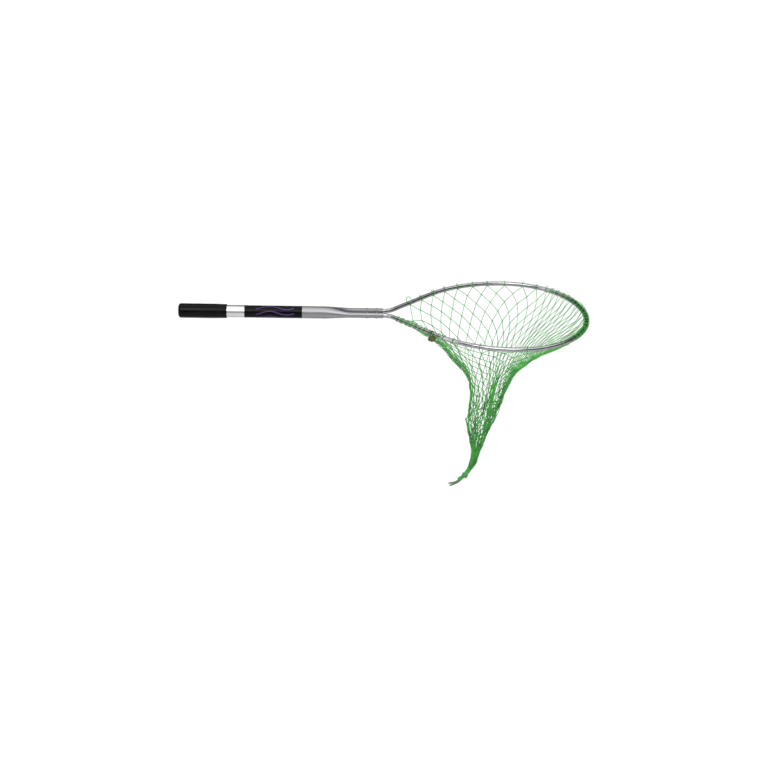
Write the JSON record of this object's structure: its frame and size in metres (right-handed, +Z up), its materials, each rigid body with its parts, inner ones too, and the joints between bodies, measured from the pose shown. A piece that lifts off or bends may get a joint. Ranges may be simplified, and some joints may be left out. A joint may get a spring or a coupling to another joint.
{
  "type": "landing net",
  "caption": "Landing net with a tube handle, a teardrop hoop of bent rod riveted into the crushed tube end, and a hanging knotted bag that swings.",
  "frame": {"origin": "on the handle's axis, in the middle of the grip's straight stretch, where a hand or a holder takes it", "axes": "+X along the handle towards the hoop's nose, +Z up with the hoop flat at Z = 0 and the bag hanging below, +Y to the hoop's left side seen from above with the nose ahead"},
  "size_m": [0.7504, 0.2886, 0.3864],
  "materials": {
    "tube_metal": "satin, polished near the grip",
    "grip_vinyl": "gloss",
    "label_film": null,
    "rod_metal": "polished",
    "rivet_metal": "satin",
    "net_twine": "matte twisted twine",
    "drawstring": "matte braided cord",
    "tie_twine": "waxed"
  },
  "bodies": {
    "root": {"handle_tube": "tube_metal", "grip": "grip_vinyl", "label_sleeve": "label_film", "hoop_rod": "rod_metal", "leg_rivets": "rivet_metal", "rim_meshes": "net_twine", "rim_tie": "tie_twine", "bag_funnel": "net_twine"},
    "neck": {"bag_neck": "net_twine"},
    "toe": {"bag_toe": "net_twine", "toe_binding": "drawstring", "drawstring_upper": "drawstring", "drawstring_lower": "drawstring"}
  },
  "joints": [
    {"name": "neck_swing", "type": "hinge", "parent": "root", "child": "neck", "pos_m": [0.542, 0, -0.11], "axis": [1, 0, 0], "range_deg": [-20, 20]},
    {"name": "toe_swing", "type": "hinge", "parent": "neck", "child": "toe", "pos_m": [0.5234, 0, -0.24], "axis": [0, 1, 0], "range_deg": [-30, 30]}
  ]
}
